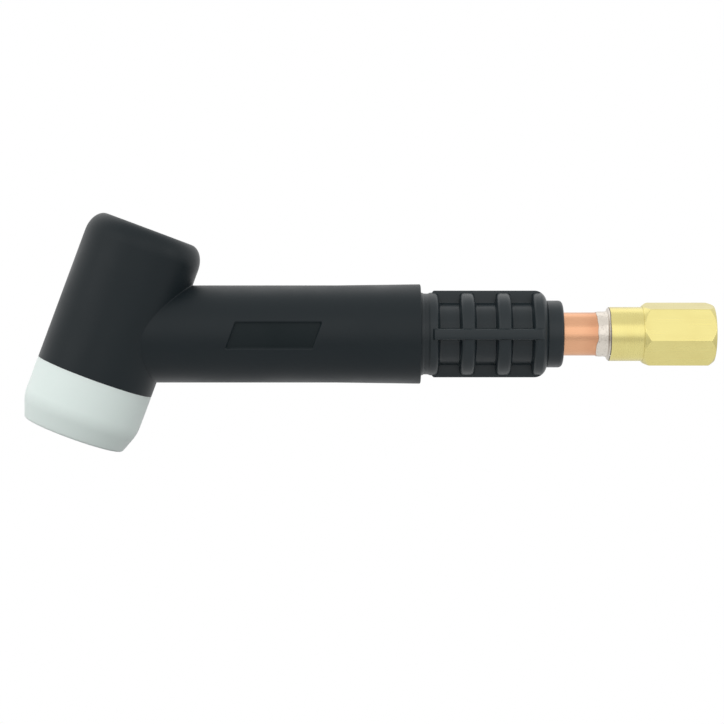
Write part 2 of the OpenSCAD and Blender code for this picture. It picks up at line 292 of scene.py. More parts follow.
class Skin:
    """One piece's surface: grids of points in mm with outward normals, joined where their edges meet."""

    # Points that share a cell of this size, in mm, are one
    cell = 2e-5

    def __init__(self):
        self.points, self.normals, self.faces, self.finishes, self.count = [], [], [], [], 0

    def grid(self, points, normals, round_columns=True, round_rows=False, finish=0):
        """Adds a grid. finish is the number of each row's or each face's material."""
        rows, columns = points.shape[:2]
        index = np.arange(rows * columns).reshape(rows, columns) + self.count
        if round_columns:
            index = np.concatenate([index, index[:, :1]], axis=1)
        if round_rows:
            index = np.concatenate([index, index[:1]], axis=0)
        quads = np.stack([index[:-1, :-1], index[:-1, 1:], index[1:, 1:], index[1:, :-1]], axis=-1)
        self.points.append(points.reshape(-1, 3))
        self.normals.append(normals.reshape(-1, 3))
        self.faces.append(quads.reshape(-1, 4))
        self.finishes.append(np.broadcast_to(finish, quads.shape[:2]).reshape(-1))
        self.count += rows * columns
        return self

    def build(self, name, materials, body=None):
        """Makes the piece from its grids. It rides on its body, if it has one."""
        points, normals = np.concatenate(self.points), np.concatenate(self.normals)
        quads, finishes = np.concatenate(self.faces), np.concatenate(self.finishes)
        cells = np.round(points / self.cell).astype(np.int64)
        _, first, same = np.unique(cells, axis=0, return_index=True, return_inverse=True)
        points, normals = points[first], normals[first]
        quads = same.reshape(-1)[quads]
        a, b, c, d = (points[quads[:, i]] for i in range(4))
        wrong = np.einsum("ij,ij->i", np.cross(c - a, d - b), normals[quads].sum(1)) < 0
        quads[wrong] = quads[wrong][:, ::-1]
        faces, face_finishes = [], []
        for quad, finish in zip(quads.tolist(), finishes.tolist()):
            corners = [v for i, v in enumerate(quad) if v != quad[i - 1]]
            if len(set(corners)) >= 3:
                faces.append(corners)
                face_finishes.append(finish)
        mesh = bpy.data.meshes.new(name)
        mesh.from_pydata((points * MM).tolist(), [], faces)
        mesh.shade_smooth()
        mesh.normals_split_custom_set_from_vertices(normals.tolist())
        for material in materials:
            mesh.materials.append(material)
        mesh.polygons.foreach_set("material_index", face_finishes)
        piece = put(name, mesh)
        if body:
            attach(piece, body)
        return piece


# ---- Materials ----


def srgb(code):
    """A #RRGGBB colour as the linear numbers that a shader takes."""
    parts = [int(code[i : i + 2], 16) / 255 for i in (1, 3, 5)]
    return tuple(p / 12.92 if p <= 0.04045 else ((p + 0.055) / 1.055) ** 2.4 for p in parts) + (1.0,)


def add(tree, kind, settings=None, **inputs):
    """Adds a node of a kind, or takes one that is there, with its settings and links.

    An input is a number, a colour, a socket, or a node that gives its first output in use. i0 is the first input.
    """
    made = tree.nodes.new("ShaderNode" + kind) if isinstance(kind, str) else kind
    for key, value in (settings or {}).items():
        setattr(made, key, value)
    for key, value in inputs.items():
        socket = made.inputs[int(key[1:]) if key[1:].isdigit() else key.replace("_", " ")]
        if isinstance(value, bpy.types.Node):
            value = next(output for output in value.outputs if output.enabled)
        if isinstance(value, bpy.types.NodeSocket):
            tree.links.new(value, socket)
        else:
            socket.default_value = value
    return made


def surface(name, code, roughness, metallic=0.0, ior=1.5, gloss=0.5):
    """A new material with one Principled shader: the material, its tree and the shader.

    A gloss under 0.5 stands for a skin whose fine pits swallow part of what it would reflect.
    """
    made = bpy.data.materials.new(name)
    made.use_nodes = True
    tree = made.node_tree
    shader = tree.nodes["Principled BSDF"]
    add(tree, shader, Base_Color=srgb(code), Roughness=roughness, Metallic=metallic, IOR=ior)
    add(tree, shader, Specular_IOR_Level=gloss)
    return made, tree, shader


def place(tree, origin=(0, 0, 0), lean=0.0):
    """Where a point is in mm, from an origin in mm, with Z turned to lie along an axis that leans in XZ.

    Noise on it has its scale in lumps per mm.
    """
    at = add(tree, "TexCoord").outputs["Object"]
    scaled = add(tree, "VectorMath", {"operation": "SCALE"}, i0=at, Scale=1 / MM)
    moved = add(tree, "VectorMath", {"operation": "SUBTRACT"}, i0=scaled, i1=origin)
    return add(tree, "VectorRotate", {"rotation_type": "Y_AXIS"}, Vector=moved, Angle=-lean)


def turned_rings(tree, at, scale, detail, along_x=False):
    """Rings round the Z or the X axis, as a lathe tool leaves them, drawn as coarse as they need to show."""
    x, y, z = add(tree, "SeparateXYZ", Vector=at).outputs
    axis, across = (x, (y, z)) if along_x else (z, (x, y))
    flat = add(tree, "CombineXYZ", X=across[0], Y=across[1])
    radius = add(tree, "VectorMath", {"operation": "LENGTH"}, i0=flat)
    rings_at = add(tree, "CombineXYZ", X=axis, Y=radius)
    return add(tree, "TexNoise", Vector=rings_at, Scale=scale, Detail=detail, Roughness=0.6)


def drawn_lines(tree, at, squeeze, scale, detail, roughness):
    """Lines along X, as a drawing die leaves them, drawn as coarse as they need to show."""
    along = add(tree, "VectorMath", {"operation": "MULTIPLY"}, i0=at, i1=(squeeze, 1, 1))
    return add(tree, "TexNoise", Vector=along, Scale=scale, Detail=detail, Roughness=roughness)


def tool_marks(tree, shader, marks, rough_low, rough_high, strength):
    """Puts the marks of a tool into the roughness and into a relief of 0.02 mm."""
    rough = add(tree, "MapRange", Value=marks, From_Min=0.3, From_Max=0.7, To_Min=rough_low, To_Max=rough_high)
    depth = add(tree, "Bump", Height=marks, Strength=strength, Distance=0.02 * MM)
    add(tree, shader, Roughness=rough, Normal=depth)


def patches(tree, shader, pattern, code, other, low, high, share):
    """Patches of another colour: as a pattern goes from low to high, up to a share of it is mixed in.

    Gives the amount that is mixed in at each point.
    """
    amount = add(tree, "MapRange", Value=pattern, From_Min=low, From_Max=high, To_Min=0, To_Max=share)
    colour = add(tree, "Mix", {"data_type": "RGBA"}, Factor=amount, i6=srgb(code), i7=srgb(other))
    add(tree, shader, Base_Color=colour)
    return amount


def rubber(name, code, rough_low, rough_high, ior, gloss):
    """Moulded rubber: 0.2 mm grain from a blasted mould, and 10 mm clouds where handling has polished it."""
    made, tree, shader = surface(name, code, (rough_low + rough_high) / 2, ior=ior, gloss=gloss)
    at = place(tree)
    cloud = add(tree, "TexNoise", Vector=at, Scale=0.09, Detail=3)
    rough = add(tree, "MapRange", Value=cloud, From_Min=0.35, From_Max=0.65, To_Min=rough_low, To_Max=rough_high)
    grain = add(tree, "TexNoise", Vector=at, Scale=5.5, Detail=2, Roughness=0.6)
    depth = add(tree, "Bump", Height=grain, Strength=0.35, Distance=0.03 * MM)
    add(tree, shader, Roughness=rough, Normal=depth)
    return made


def lathe_metal(name, code, dark, roughness, origin=(0, 0, 0), lean=0.0, along_x=False):
    """Turned metal: 0.3 mm rings round its axis and a faint dulling in 4 mm patches."""
    made, tree, shader = surface(name, code, roughness, 1.0)
    at = place(tree, origin, lean)
    rings = turned_rings(tree, at, 3.2, 2, along_x)
    tool_marks(tree, shader, rings, roughness - 0.01, roughness + 0.015, strength=0.01)
    cloud = add(tree, "TexNoise", Vector=at, Scale=0.25, Detail=3)
    patches(tree, shader, cloud, code, dark, low=0.4, high=0.8, share=0.2)
    return made


def drawn_bar(name, code, dark):
    """Drawn hexagon bar: faint 0.8 mm lines along its smooth flats, and a little colour change from flat to flat."""
    made, tree, shader = surface(name, code, 0.28, 1.0)
    at = place(tree)
    lines = drawn_lines(tree, at, 0.04, 1.2, 2, 0.6)
    tool_marks(tree, shader, lines, 0.25, 0.32, strength=0.015)
    cloud = add(tree, "TexNoise", Vector=at, Scale=0.12, Detail=2)
    patches(tree, shader, cloud, code, dark, low=0.4, high=0.8, share=0.2)
    return made


def drawn_tube(name, code, heated):
    """Drawn tube: 0.3 mm lines along its length and 2 mm patches of a browner tint towards the brazed joint."""
    made, tree, shader = surface(name, code, 0.3, 1.0)
    at = place(tree)
    lines = drawn_lines(tree, at, 0.03, 3.0, 3, 0.65)
    tool_marks(tree, shader, lines, 0.24, 0.38, strength=0.2)
    x = add(tree, "SeparateXYZ", Vector=at).outputs["X"]
    heat = add(tree, "MapRange", Value=x, From_Min=HEAT_START, From_Max=HEAT_END, To_Min=0, To_Max=0.55)
    cloud = add(tree, "TexNoise", Vector=at, Scale=0.5, Detail=3)
    amount = add(tree, "Math", {"operation": "MULTIPLY"}, i0=heat, i1=cloud)
    colour = add(tree, "Mix", {"data_type": "RGBA"}, Factor=amount, i6=srgb(code), i7=srgb(heated))
    add(tree, shader, Base_Color=colour)
    return made


def flowed_braze(name, code, stained):
    """Braze as it flowed: 1.2 mm lumps and 0.6 mm spots of flux."""
    made, tree, shader = surface(name, code, 0.36, 1.0)
    at = place(tree)
    flux = add(tree, "TexNoise", Vector=at, Scale=1.6, Detail=4, Roughness=0.7)
    spots = patches(tree, shader, flux, code, stained, low=0.55, high=0.72, share=0.45)
    rough = add(tree, "MapRange", Value=spots, From_Min=0, From_Max=0.6, To_Min=0.33, To_Max=0.6)
    lumps = add(tree, "TexNoise", Vector=at, Scale=0.8, Detail=3)
    depth = add(tree, "Bump", Height=lumps, Strength=0.8, Distance=0.2 * MM)
    add(tree, shader, Roughness=rough, Normal=depth)
    return made


def burnt_glass(name, code, pale):
    """Flux burnt to glass, with paler places 0.5 mm wide."""
    made, tree, shader = surface(name, code, 0.35)
    cloud = add(tree, "TexNoise", Vector=place(tree), Scale=1.8, Detail=3, Roughness=0.6)
    patches(tree, shader, cloud, code, pale, low=0.4, high=0.65, share=0.6)
    return made


def milky_plastic(name, code):
    """Turned fluoropolymer: light goes up to 2 mm into it, and the tool leaves faint 0.3 mm rings."""
    made, tree, shader = surface(name, code, 0.38, ior=1.35)
    reach = (1.6 * MM, 1.8 * MM, 1.7 * MM)
    add(tree, shader, Subsurface_Weight=0.25, Subsurface_Radius=reach, Subsurface_Scale=1.0)
    rings = turned_rings(tree, place(tree, (HEAD_X, 0, 0), LEAN), 4.0, 3)
    tool_marks(tree, shader, rings, 0.33, 0.45, strength=0.2)
    return made


BRASS, BRASS_DULL = "#E1D58D", "#BFA45A"

# Silicone rubber moulded over the head and neck: near black, with a soft satin sheen along its edges
silicone = rubber("silicone_moulded_satin", "#131C20", 0.36, 0.46, 1.40, 0.34)
# The same silicone in the plaque recess, matt where the mould was rough, with a darker colour that is painted shade so
# the recess stands out
plaque_silicone_painted_shade = rubber("silicone_matt_painted_shade", "#0C171A", 0.60, 0.70, 1.40, 0.32)
# Hard rubber of the handle collar, from a polished mould: a little greyer and glossier than the jacket
collar_rubber = rubber("hard_rubber_moulded", "#1A2327", 0.31, 0.40, 1.45, 0.40)
# Free-cutting brass turned on a lathe: pale yellow metal with rings round the fitting
fitting_brass = lathe_metal("brass_turned", BRASS, BRASS_DULL, 0.27, along_x=True)
# The same brass in the head: deeper yellow inside, with its rings round the head's axis
core_brass = lathe_metal("brass_turned_bore", "#DDC172", "#94743A", 0.3, (HEAD_X, 0, 0), LEAN)
# The flats of the hexagon, left as the bar was drawn: the same pale yellow, with lines along them and no rings
bar_brass = drawn_bar("brass_drawn_bar", BRASS, BRASS_DULL)
# Bare drawn copper: bright pinkish metal, a little browner where the brazing flame reached it
copper = drawn_tube("copper_drawn", "#E1AB86", "#B06A4A")
# Silver braze: warm grey metal, lumpy and bright on its crown
braze = flowed_braze("silver_braze_as_flowed", "#DDD5CA", "#6A6259")
# Burnt flux at the braze's end: a thin brown-black line
burnt_flux = burnt_glass("brazing_flux_burnt", "#4A4138", "#8A7F6C")
# Turned PTFE of the nose: milky white, soft at its edges
ptfe = milky_plastic("ptfe_turned", "#E2EDE9")


# ---- Cable fitting ----


def hexagon():
    """Around the hexagon: each column's angle, its radius and the angle that its outside faces."""
    corner = (HEX_FLAT_R - HEX_EDGE) / math.cos(math.radians(30))
    at, reach, face = [], [], []
    for k in range(6):
        middle = HEX_TURN + 60 * k
        for turn in (-30, -18, -6, 6, 18, 30):
            x = corner + HEX_EDGE * math.cos(math.radians(turn))
            y = HEX_EDGE * math.sin(math.radians(turn))
            at.append(middle + math.degrees(math.atan2(y, x)))
            reach.append(math.hypot(x, y))
            face.append(middle + turn)
        end = corner * math.sin(math.radians(30))
        for share in np.linspace(-1, 1, 16)[1:-1]:
            y = end * share
            at.append(middle + 30 + math.degrees(math.atan2(y, HEX_FLAT_R)))
            reach.append(math.hypot(y, HEX_FLAT_R))
            face.append(middle + 30)
    return np.radians(at), np.array(reach), np.radians(face)


def hex_rows(around, reach, face):
    """The hexagon from its rear chamfer to its front one: points and normals."""
    slope = np.array([CHAMFER_OUT - CHAMFER_IN, CHAMFER_LEN])
    slope = slope / np.linalg.norm(slope)
    length = (reach - CHAMFER_IN) / slope[0]
    step = np.minimum(HEX_ROUND, length * 0.4)
    # Rounded edge between chamfer and flat: how far past it, how far turned to the flat, and how far inwards
    edge = ((-step, 0.0, 0), (-step * 0.3, 0.3, step * 0.08), (step * 0.3, 0.7, step * 0.08), (step, 1.0, 0))
    flat = np.stack([np.zeros_like(face), np.cos(face), np.sin(face)], axis=-1)
    radial = np.stack([np.zeros_like(around), np.cos(around), np.sin(around)], axis=-1)
    rows, normals = [], []
    for end in (1, -1):
        cone = slope[0] * np.array([end, 0, 0]) + slope[1] * radial
        parts = []
        for past, tilt, inwards in edge:
            on_cone = np.minimum(length + past, length)
            x = -on_cone * slope[1] - np.maximum(past, 0)
            r = CHAMFER_IN + on_cone * slope[0] - inwards
            normal = (1 - tilt) * cone + tilt * flat
            parts.append((x, r, normal / np.linalg.norm(normal, axis=1)[:, None]))
        if end < 0:
            parts = [(-HEX_LEN - x, r, normal) for x, r, normal in reversed(parts)]
        for x, r, normal in parts:
            rows.append(np.stack([x, r * np.cos(around), r * np.sin(around)], axis=-1))
            normals.append(normal)
    return np.array(rows), np.array(normals)


def cable_fitting():
    """Brass fitting: chamfered hexagon, round collar, brazing socket and a threaded bore for the cable."""
    around, reach, face = hexagon()
    bore = thread(INLET_END + 0.5, -0.72, CABLE_THREAD, ALONG, around)
    rear = rounded(
        [
            [-1.0, CABLE_THREAD[0], 0],
            [-0.7, CABLE_THREAD[0], 0.05],
            [0, INLET_MOUTH_R, 0.06],
            [0, CHAMFER_IN, 0.04],
            [-ON_CHAMFER[0], ON_CHAMFER[1], 0],
        ]
    )
    flanks = hex_rows(around, reach, face)
    front = rounded(
        [
            [-HEX_LEN + ON_CHAMFER[0], ON_CHAMFER[1], 0],
            [-HEX_LEN, CHAMFER_IN, 0.04],
            [-HEX_LEN, COLLAR_R, 0.12],
            [FITTING_FRONT, COLLAR_R, COLLAR_ROUND],
            [FITTING_FRONT, TUBE_HOLE_R, 0.1],
            [SOCKET_END, TUBE_HOLE_R, 0.05],
            [SOCKET_END, TUBE_BORE_R, 0.1],
            [INLET_END, TUBE_BORE_R, 0.1],
            [INLET_END, INLET_END_R, 0.1],
            [INLET_END + 0.8, INLET_END_R, 0],
        ]
    )
    points, normals = joined(bore, turned(rear, ALONG, around), flanks, turned(front, ALONG, around))
    # The row of faces between the two chamfers is the bar's own skin
    flat_row = len(bore[0]) + len(rear[0]) + len(flanks[0]) // 2 - 1
    finish = (np.arange(len(points)) == flat_row)[:, None] * 1
    skin = Skin().grid(points, normals, round_rows=True, finish=finish)
    piece = skin.build("Cable_fitting", (fitting_brass, bar_brass), "rear")
    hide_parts("cable_fitting")


def lumpy(around, seed, waves, size):
    """A smooth irregular line around an axis, from a few waves with seeded phases."""
    draw = np.random.default_rng(seed)
    line = np.zeros_like(around)
    for n in waves:
        line = line + draw.uniform(0.4, 1) * np.cos(n * around + draw.uniform(0, TAU)) / math.sqrt(n)
    return line * size / math.sqrt(len(waves))


def braze_bead():
    """Bead of braze: a thin skin with an uneven front edge on the tube, a hollow curve up to the fitting and a film.

    The film lies over the fitting's rounded edge, and burnt flux marks its end.
    """
    around = angles(120)
    front = BRAZE_FRONT + 0.25 + lumpy(around, seed=3, waves=(2, 3, 5, 7, 11), size=0.55)
    lump = lumpy(around, seed=8, waves=(3, 4, 6, 9, 13), size=0.1)
    foot, foot_r = FITTING_FRONT - BRAZE_CURVE, TUBE_R + BRAZE_SKIN
    share = np.array([0, 0.03, 0.1, 0.25, 0.5, 0.75, 1.0])[:, None]
    rise = np.sqrt(np.clip(share * 4, 0, 1))
    x = list(front + (foot - front) * share)
    r = list(TUBE_R + BRAZE_EDGE + (BRAZE_SKIN - BRAZE_EDGE) * rise + lump * np.sin(math.pi * share))
    top_r = COLLAR_R - COLLAR_ROUND + BRAZE_FILM
    for turn in np.linspace(0, math.pi / 2, 7)[1:]:
        x.append(np.full_like(around, foot + (BRAZE_CURVE - BRAZE_FILM) * math.sin(turn)))
        r.append(foot_r + (top_r - foot_r) * (1 - math.cos(turn)) + lump * math.cos(turn) * 0.5)
    reach = BRAZE_REACH + lumpy(around, seed=12, waves=(2, 3, 5, 8), size=0.22)
    first_over = len(x)
    for share, film in BRAZE_OVER:
        radius = COLLAR_ROUND + BRAZE_FILM * film
        x.append(FITTING_FRONT + COLLAR_ROUND - radius * np.cos(reach * share))
        r.append(COLLAR_R - COLLAR_ROUND + radius * np.sin(reach * share))
    for inner in (np.full_like(around, FITTING_FRONT + 0.02), front + 0.3):
        x.append(inner)
        r.append(np.full_like(around, TUBE_HOLE_R))
    points = np.array([np.stack([a, b * np.cos(around), b * np.sin(around)], axis=-1) for a, b in zip(x, r)])
    along = np.roll(points, -1, axis=0) - np.roll(points, 1, axis=0)
    across = np.roll(points, -1, axis=1) - np.roll(points, 1, axis=1)
    normals = np.cross(across, along)
    normals /= np.linalg.norm(normals, axis=2)[..., None]
    end_rows = np.isin(np.arange(len(points)), (first_over + 3, first_over + 4))
    marked = lumpy(around, seed=21, waves=(1, 4, 7, 11, 17), size=1.0) > -0.25
    skin = Skin().grid(points, normals, round_rows=True, finish=end_rows[:, None] & marked)
    piece = skin.build("Cable_braze", (braze, burnt_flux), "rear")
    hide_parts("cable_braze")


cable_fitting()
braze_bead()


# ---- Handle collar ----


def over_table(value, table):
    """A height read off a table of distance and height, level past its ends."""
    steps = np.array(table, float)
    return np.interp(value, steps[:, 0], steps[:, 1])


def softer_max(a, b, width):
    """The larger of two heights, with a fillet where they cross."""
    h = np.clip(0.5 + 0.5 * (b - a) / width, 0, 1)
    return a * (1 - h) + b * h + width * h * (1 - h)


# Side of a cross ring: distance from its middle and radius, from its rounded crest down to the pocket's floor
RING_TABLE = [
    [RING_HALF - 0.95 + RING_ROUND * math.sin(a), RING_R - RING_ROUND * (1 - math.cos(a))]
    for a in np.linspace(0, math.radians(80), 6)
] + [
    [RING_HALF + 0.08, FOOT_HIGH],
    [RING_HALF + 0.16, FOOT_LOW],
    [RING_HALF + 0.45, POCKET_R],
]
# Side of a rib: degrees from its middle and radius
RIB_EDGE = math.degrees(math.asin((RIB_HALF - 0.3) / RIB_R))
RIB_TABLE = [
    [RIB_EDGE, RIB_R],
    [RIB_EDGE + 0.9, RIB_R - 0.05],
    [RIB_EDGE + 1.5, RIB_R - 0.18],
    [RIB_EDGE + 1.9, RIB_R - 0.4],
    [RIB_EDGE + 4.6, FOOT_HIGH],
    [RIB_EDGE + 5.2, FOOT_LOW],
    [RIB_EDGE + 7.5, POCKET_R],
]


def collar_height(x, turn):
    """Radius of the collar's ribbed stretch: floor, cross rings, long ribs and the rounded shoulder."""
    rings = np.full_like(x, POCKET_R)
    for ring in RINGS:
        rings = np.maximum(rings, over_table(np.abs(x - ring), RING_TABLE))
    band = RING_R - DIP_DEPTH * smooth((x - DIP_FRONT) / 0.5) * smooth((DIP_REAR - x) / 0.7)
    rings = np.where(x < RINGS[0], band, rings)
    off = np.degrees(np.abs(np.mod(turn + TAU / 8, TAU / 4) - TAU / 8))
    ribs = over_table(off, RIB_TABLE)
    # The ribs rise out of the front ring
    lead = smooth((x - RINGS[0] + 0.1) / 0.8)
    low = POCKET_R + 2
    ribs = np.where(lead < 1, np.minimum(ribs, low + (RIB_R - low) * lead), ribs)
    height = softer_max(rings, ribs, 0.12)
    into = np.clip(x - (SHOULDER - SHOULDER_ROUND), 0, SHOULDER_ROUND - 0.01)
    shoulder = RIB_R - SHOULDER_ROUND + np.sqrt(SHOULDER_ROUND**2 - into**2)
    return np.minimum(height, shoulder)


def collar_stations(low, high):
    """Stations along the ribbed stretch, close together on the sides of the rings and round the shoulder."""
    stops = {BAND_FRONT + 1.0} | {DIP_FRONT + off for off in (0, 0.3, 0.5, 1.1, 1.4, 1.7)}
    offs = [0.0, 0.4, RING_HALF + 0.28, RING_HALF + 0.9] + [row[0] for row in RING_TABLE]
    for ring in RINGS:
        stops.update(ring + side * off for off in offs for side in (-1, 1))
    stops.update(RINGS[0] + off for off in np.linspace(-0.1, 0.7, 6))
    stops.update(SHOULDER - SHOULDER_ROUND + SHOULDER_ROUND * math.sin(a) for a in np.linspace(0, 1.42, 14))
    rows = np.array(sorted(stop for stop in stops if low < stop < high))
    return rows[np.concatenate([[True], np.diff(rows) > 0.02])]


def collar_columns():
    """Angles round the collar, close together on the sides of its four ribs."""
    offs = [row[0] for row in RIB_TABLE] + [RIB_EDGE * 0.6, RIB_EDGE + 3.2, RIB_EDGE + 6.2, 20.0, 26.0, 32.0, 38.0]
    turns = {0.0, 45.0, *offs, *(90 - off for off in offs)}
    quarter = sorted(turn for turn in turns if turn < 89.99)
    return np.radians([90 * k + turn for k in range(4) for turn in quarter])


def handle_collar():
    """Collar: spigot, front band, ribbed stretch and the plain end ring."""
    band_edge, shoulder_end = BAND_FRONT + 0.9, SHOULDER - 0.02
    around = collar_columns()
    ribbed = relief(collar_height, collar_stations(band_edge, shoulder_end), around, ALONG)
    outline = rounded(
        [
            [band_edge, RING_R, 0],
            [BAND_FRONT, RING_R, 0.1],
            [BAND_FRONT, SPIGOT_R, 0.05],
            [SPIGOT_FRONT, SPIGOT_R, 0.3],
            [SPIGOT_FRONT, TUBE_HOLE_R, 0.2],
            [END_RING_REAR, TUBE_HOLE_R, 0.15],
            [END_RING_REAR, END_RING_R, 0.9],
            [SHOULDER + 0.1, END_RING_R, 0.02],
            [shoulder_end, END_RING_R - 0.1, 0],
        ],
        per_step=15,
        ends=True,
    )
    ends = [part[::-1] for part in turned(outline, ALONG, around)]
    points, normals = joined(ribbed, ends)
    piece = Skin().grid(points, normals, round_rows=True).build("Handle_collar", (collar_rubber,), "rear")
    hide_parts("handle_collar")


handle_collar()


# ---- Neck ----


def plaque_share(x, turn):
    """How far a place on the neck lies in the plaque recess: 0 outside, 1 on its floor."""
    up = NECK_R * np.sin(turn) - PLAQUE_Z
    along = x - PLAQUE_X - PLAQUE_LEAN * up / PLAQUE_H
    in_length = smooth((PLAQUE_LEN / 2 - np.abs(along)) / PLAQUE_RAMP + 0.5)
    in_height = smooth((PLAQUE_H / 2 - np.abs(up)) / PLAQUE_RAMP + 0.5)
    return in_length * in_height * (np.cos(turn) < 0)


def neck_radius(x, turn):
    """Radius of the neck jacket: its slight taper to the rear, less the plaque recess."""
    r = NECK_R + (NECK_REAR_R - NECK_R) * np.clip((x - CENTRES[0]) / (NECK_REAR - CENTRES[0]), 0, 1)
    return r - PLAQUE_DEPTH * plaque_share(x, turn)


def neck_columns():
    """Angles round the neck, alike on both sides, close together where the plaque recess has its edges."""
    half = set(np.round(np.arange(-90, 90.01, 2.25), 4))
    half.update(np.round(np.arange(-12.375, 17, 1.125), 4))
    for edge in (PLAQUE_Z - PLAQUE_H / 2, PLAQUE_Z + PLAQUE_H / 2):
        for off in (-0.25, -0.17, -0.08, 0, 0.08, 0.17, 0.25):
            half.add(round(math.degrees(math.asin((edge + off) / NECK_R)), 4))
    half = sorted(half)
    return np.radians(half + [180 - t for t in half[::-1] if -89.9 < t < 89.9])


AROUND = neck_columns()
MIDWAY = AROUND + np.diff(np.append(AROUND, AROUND[0] + TAU)) / 2


def neck_stations(high, low):
    """Stations along a stretch of neck, close together where the ends of the plaque recess slant across it."""
    high, low = round(high, 4), round(low, 4)
    stops = list(np.linspace(high, low, max(2, round((high - low) / STATION_STEP) + 1)))
    for end in (PLAQUE_X - PLAQUE_LEN / 2, PLAQUE_X + PLAQUE_LEN / 2):
        stops += list(np.arange(end - PLAQUE_LEAN / 2 - 0.3, end + PLAQUE_LEAN / 2 + 0.35, 0.1))
    stops = sorted({round(s, 4) for s in stops if low <= round(s, 4) <= high}, reverse=True)
    kept = [high]
    for before, s in zip(stops, stops[1:]):
        if s == low or (s - low > 0.03 and high - s > 0.03 and before - s > 0.02):
            kept.append(s)
    return np.array(kept)


def junction(radius, fillet, onto):
    """Where a bar along the neck meets a bar of radius onto along the head, with a rolling ball for a fillet.

    For each column: the ball's centre, and the angle and height at which it touches the bar along the head.
    """
    y = (radius + fillet) * np.cos(AROUND)
    z = (radius + fillet) * np.sin(AROUND)
    back = np.sqrt((onto + fillet) ** 2 - y**2)
    x = HEAD_X + (back + z * math.sin(LEAN)) / math.cos(LEAN)
    height = (x - HEAD_X) * math.sin(LEAN) + z * math.cos(LEAN)
    return x, y, z, np.arctan2(y, back), height


def head_at(phi, height):
    """Points and normals on the head's side."""
    out = np.cos(phi)[..., None] * BACK_HEAD + np.sin(phi)[..., None] * HEAD[3]
    return HEAD[0] + height[..., None] * UP_HEAD + HEAD_R * out, out


def jacket_bore(skin, high, low):
    """Inside of the jacket between two stations, which are numbers or one number for each column."""
    stations = np.linspace(high * np.ones_like(AROUND), low * np.ones_like(AROUND), 7)
    turn = np.broadcast_to(AROUND, stations.shape)
    skin.grid(*relief(lambda s, t: np.full_like(s, TUBE_HOLE_R), stations, turn, ALONG, inner=True))


def rear_sleeve():
    """Rear of the neck jacket: a crisp rear face with a shallow seat for the collar's band."""
    front = CENTRES[0] + BEND_HALF
    outline = rounded(
        [
            [front, TUBE_HOLE_R, 0],
            [SPIGOT_FRONT, TUBE_HOLE_R, 0.1],
            [SPIGOT_FRONT, SPIGOT_R + FIT, 0.1],
            [BAND_FRONT, SPIGOT_R + FIT, 0.1],
            [BAND_FRONT, RING_R + FIT, 0.05],
            [NECK_REAR, RING_R + FIT, 0.12],
            [NECK_REAR, NECK_REAR_R, 0.3],
            [front, float(neck_radius(np.array(front), np.array(0.0))), 0],
        ],
        per_step=10,
        ends=True,
    )
    piece = Skin().grid(*turned(outline, ALONG, AROUND)).build("Neck_sleeve", (silicone,), "rear")
    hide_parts("neck_sleeve")


def bend(piece):
    """Bakes a piece's placing into its points."""
    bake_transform(piece)


def neck_skin(high, low):
    """A plain stretch of the jacket. The floor of the plaque recess has its own matt material, whose darker colour is
    painted shade.
    """
    skin = Skin()
    stations = neck_stations(high, low)
    middles = np.meshgrid((stations[1:] + stations[:-1]) / 2, MIDWAY, indexing="ij")
    # Faces on the plaque recess's floor take the matt silicone with painted shade
    skin.grid(*relief(neck_radius, stations, AROUND, ALONG), finish=(plaque_share(*middles) > 0.5) * 1)
    jacket_bore(skin, high, low)
    return skin


def neck_end_skin(high):
    """The last stretch of the jacket, which ends in the fillet on the head."""
    skin = Skin()
    x, y, z, phi, height = junction(NECK_R, NECK_FILLET, HEAD_R)
    stations = high + (x - high) * np.linspace(0, 1, 19)[:, None]
    neck = relief(neck_radius, stations, np.broadcast_to(AROUND, stations.shape), ALONG)
    skin.grid(*neck)
    middle = np.stack([x, y, z], axis=-1)
    first = (neck[0][-1] - middle) / NECK_FILLET
    last = (head_at(phi, height)[0] - middle) / NECK_FILLET
    arc = np.arccos(np.clip((first * last).sum(1), -1, 1))[:, None]
    shares = np.linspace(0, 1, 9)
    ways = np.array([(np.sin((1 - s) * arc) * first + np.sin(s * arc) * last) / np.sin(arc) for s in shares])
    skin.grid(middle + NECK_FILLET * ways, -ways)
    jacket_bore(skin, high, junction(TUBE_HOLE_R, 0, CORE_R + FIT)[0])
    return skin


def neck_bends():
    """The bending stretch of the jacket, one piece at each bending centre."""
    for k, centre in enumerate(CENTRES):
        high, low = centre + BEND_HALF, centre - BEND_HALF
        skin = neck_skin(high, low) if k < LINKS else neck_end_skin(high)
        piece = skin.build(f"Neck_bend_{k + 1}", (silicone, plaque_silicone_painted_shade))
        bend(piece)
        if k < LINKS:
            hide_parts(f"jacket_link_{k + 1}")


rear_sleeve()
neck_bends()


# ---- Supply tube ----


def tube_part(name, high, low, body=None):
    """A length of copper tube. Its two real ends are closed and rounded; the others meet the next length."""
    skin = Skin()
    around = angles(64)
    stations = np.linspace(high, low, max(3, round((high - low) / STATION_STEP)))
    for radius, way in ((TUBE_R, 1.0), (TUBE_BORE_R, -1.0)):
        points = np.stack([stations, np.full_like(stations, radius)], axis=-1)
        skin.grid(*turned((points, np.tile([0, way], (len(stations), 1))), ALONG, around))
    for end, station, way in (("rear", high, 1), ("head", low, -1)):
        if body == end:
            cap = station + way * TUBE_CAP
            outer, inner = TUBE_R - TUBE_EDGE, TUBE_BORE_R + TUBE_EDGE
            points = np.array([[station, TUBE_R], [cap, outer], [cap, inner], [station, TUBE_BORE_R]])
            facing = np.array([[0, 1.0], [way, 0.2], [way, -0.2], [0, -1.0]])
            facing /= np.linalg.norm(facing, axis=1)[:, None]
            skin.grid(*turned((points, facing), ALONG, around))
    piece = skin.build(name, (copper,), body)
    return piece


